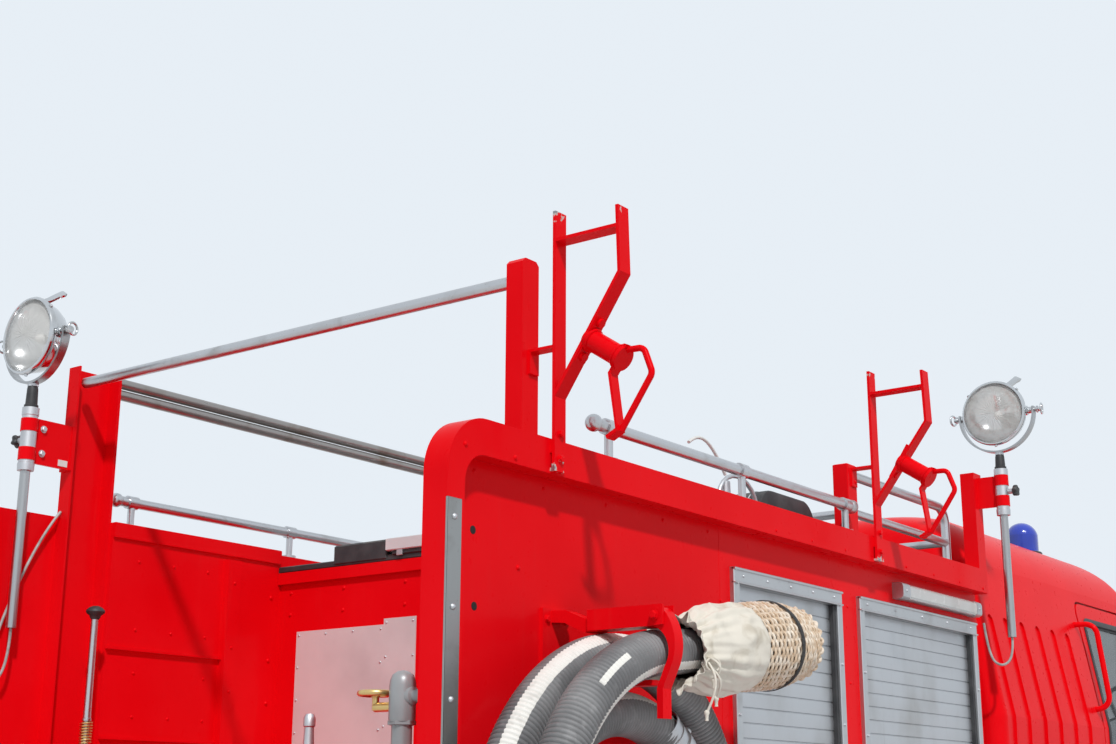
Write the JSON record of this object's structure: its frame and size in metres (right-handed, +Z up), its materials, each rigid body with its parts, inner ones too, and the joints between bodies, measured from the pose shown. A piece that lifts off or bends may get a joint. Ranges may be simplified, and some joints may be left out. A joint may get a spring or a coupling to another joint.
{
  "type": "fire truck",
  "caption": "Compact red fire truck with roller-shutter lockers, open rear pump recess, roof rails, ladder brackets, pole searchlights and coiled suction hoses.",
  "frame": {"origin": "ground level under the middle of the bounding box", "axes": "+X is the truck's left side, the front faces -Y, +Z is up"},
  "size_m": [2.9049, 6.165, 3.27],
  "materials": {
    "blue_lens": "gloss",
    "brass": "polished",
    "bumper_paint": "satin",
    "cab_glass": "gloss",
    "cable": "matte",
    "canvas": "matte",
    "chassis_black": "satin",
    "dark_plastic": "matte",
    "engine_grey": "matte",
    "hose_rubber": "matte",
    "lamp_chrome": "polished",
    "red_lens": "gloss",
    "red_paint": "gloss",
    "seat_vinyl": "satin",
    "shutter_alloy": "brushed",
    "stainless": "brushed",
    "treadplate": "brushed",
    "tyre": "matte",
    "wheel_paint": "satin",
    "wicker": "matte"
  },
  "bodies": {
    "truck": {"area_lights": "stainless", "beacons": "blue_lens", "body_base": "red_paint", "body_sides": "red_paint", "cab_handles_and_hinges": "red_paint", "cab_roof": "red_paint", "cab_shell": "red_paint", "cable_front": "cable", "cable_rear": "cable", "chassis_frame": "chassis_black", "corner_strips": "stainless", "dashboard": "dark_plastic", "front_axle": "chassis_black", "front_bumper": "bumper_paint", "gantry_posts": "red_paint", "grille": "dark_plastic", "headlamps": "lamp_chrome", "hose_rack": "red_paint", "ladder_brackets": "red_paint", "leaf_springs": "chassis_black", "mirrors": "dark_plastic", "powertrain": "engine_grey", "pump_recess": "red_paint", "rear_axle": "chassis_black", "rear_mudguards": "dark_plastic", "rear_step": "treadplate", "recess_fittings": "stainless", "recess_panel": "stainless", "roof_deck": "treadplate", "roof_gear": "dark_plastic", "roof_rails": "stainless", "seats": "seat_vinyl", "shutters": "shutter_alloy", "strainer_basket": "wicker", "strainer_collar": "canvas", "suction_hoses": "hose_rubber", "tail_lamps": "red_lens", "tank_and_exhaust": "chassis_black", "valve_wheel": "brass", "windscreen": "cab_glass"},
    "knuckle_left": {"knuckle_left": "chassis_black"},
    "knuckle_right": {"knuckle_right": "chassis_black"},
    "tie_rod": {"tie_rod": "chassis_black"},
    "wheel_front_left": {"rim_front_left": "wheel_paint", "tyre_front_left": "tyre"},
    "wheel_front_right": {"rim_front_right": "wheel_paint", "tyre_front_right": "tyre"},
    "wheels_rear_left": {"rims_rear_left": "wheel_paint", "tyres_rear_left": "tyre"},
    "wheels_rear_right": {"rims_rear_right": "wheel_paint", "tyres_rear_right": "tyre"},
    "door_left": {"door_left": "red_paint", "glass_door_left": "cab_glass"},
    "door_right": {"door_right": "red_paint", "glass_door_right": "cab_glass"},
    "searchlight_rear_pole": {"searchlight_rear_pole": "lamp_chrome"},
    "searchlight_rear_head": {"searchlight_rear_head": "lamp_chrome"},
    "searchlight_front_pole": {"searchlight_front_pole": "lamp_chrome"},
    "searchlight_front_head": {"searchlight_front_head": "lamp_chrome"},
    "hose_jaw": {"hose_jaw": "red_paint"}
  },
  "joints": [
    {"name": "steer_left", "type": "hinge", "parent": "truck", "child": "knuckle_left", "pos_m": [0.745, -2.014, 0.45], "axis": [0, 0, 1], "range_deg": [-33, 33]},
    {"name": "steer_right", "type": "hinge", "parent": "truck", "child": "knuckle_right", "pos_m": [-0.745, -2.014, 0.45], "axis": [0, 0, 1], "range_deg": [-33, 33]},
    {"name": "tie_rod_pivot", "type": "hinge", "parent": "knuckle_left", "child": "tie_rod", "pos_m": [0.745, -1.844, 0.45], "axis": [0, 0, 1], "range_deg": [-33, 33]},
    {"name": "spin_front_left", "type": "hinge", "parent": "knuckle_left", "child": "wheel_front_left", "pos_m": [0.92, -2.014, 0.45], "axis": [1, 0, 0], "continuous": true},
    {"name": "spin_front_right", "type": "hinge", "parent": "knuckle_right", "child": "wheel_front_right", "pos_m": [-0.92, -2.014, 0.45], "axis": [1, 0, 0], "continuous": true},
    {"name": "spin_rear_left", "type": "hinge", "parent": "truck", "child": "wheels_rear_left", "pos_m": [0.925, 1.136, 0.45], "axis": [1, 0, 0], "continuous": true},
    {"name": "spin_rear_right", "type": "hinge", "parent": "truck", "child": "wheels_rear_right", "pos_m": [-0.925, 1.136, 0.45], "axis": [1, 0, 0], "continuous": true},
    {"name": "door_left_hinge", "type": "hinge", "parent": "truck", "child": "door_left", "pos_m": [1.103, -2.784, 1.5], "axis": [0, 0, 1], "range_deg": [-68, 0]},
    {"name": "door_right_hinge", "type": "hinge", "parent": "truck", "child": "door_right", "pos_m": [-1.103, -2.784, 1.5], "axis": [0, 0, 1], "range_deg": [0, 68]},
    {"name": "lamp_rear_swivel", "type": "hinge", "parent": "truck", "child": "searchlight_rear_pole", "pos_m": [0.968, 2.749, 2.7], "axis": [0, 0, 1], "range_deg": [-70, 70]},
    {"name": "lamp_rear_tilt", "type": "hinge", "parent": "searchlight_rear_pole", "child": "searchlight_rear_head", "pos_m": [0.968, 2.749, 3.08], "axis": [1, 0, 0], "range_deg": [-35, 60]},
    {"name": "lamp_front_swivel", "type": "hinge", "parent": "truck", "child": "searchlight_front_pole", "pos_m": [-1.205, -0.452, 2.8], "axis": [0, 0, 1], "range_deg": [-70, 70]},
    {"name": "lamp_front_tilt", "type": "hinge", "parent": "searchlight_front_pole", "child": "searchlight_front_head", "pos_m": [-1.205, -0.452, 3.132], "axis": [1, 0, 0], "range_deg": [-35, 60]},
    {"name": "hose_jaw_hinge", "type": "hinge", "parent": "truck", "child": "hose_jaw", "pos_m": [-1.391, 2.452, 1.99373], "axis": [0, 1, 0], "range_deg": [0, 95]}
  ],
  "couplings": [
    {"joint": "steer_right", "follows": "steer_left", "ratio": 1},
    {"joint": "tie_rod_pivot", "follows": "steer_left", "ratio": -1}
  ]
}
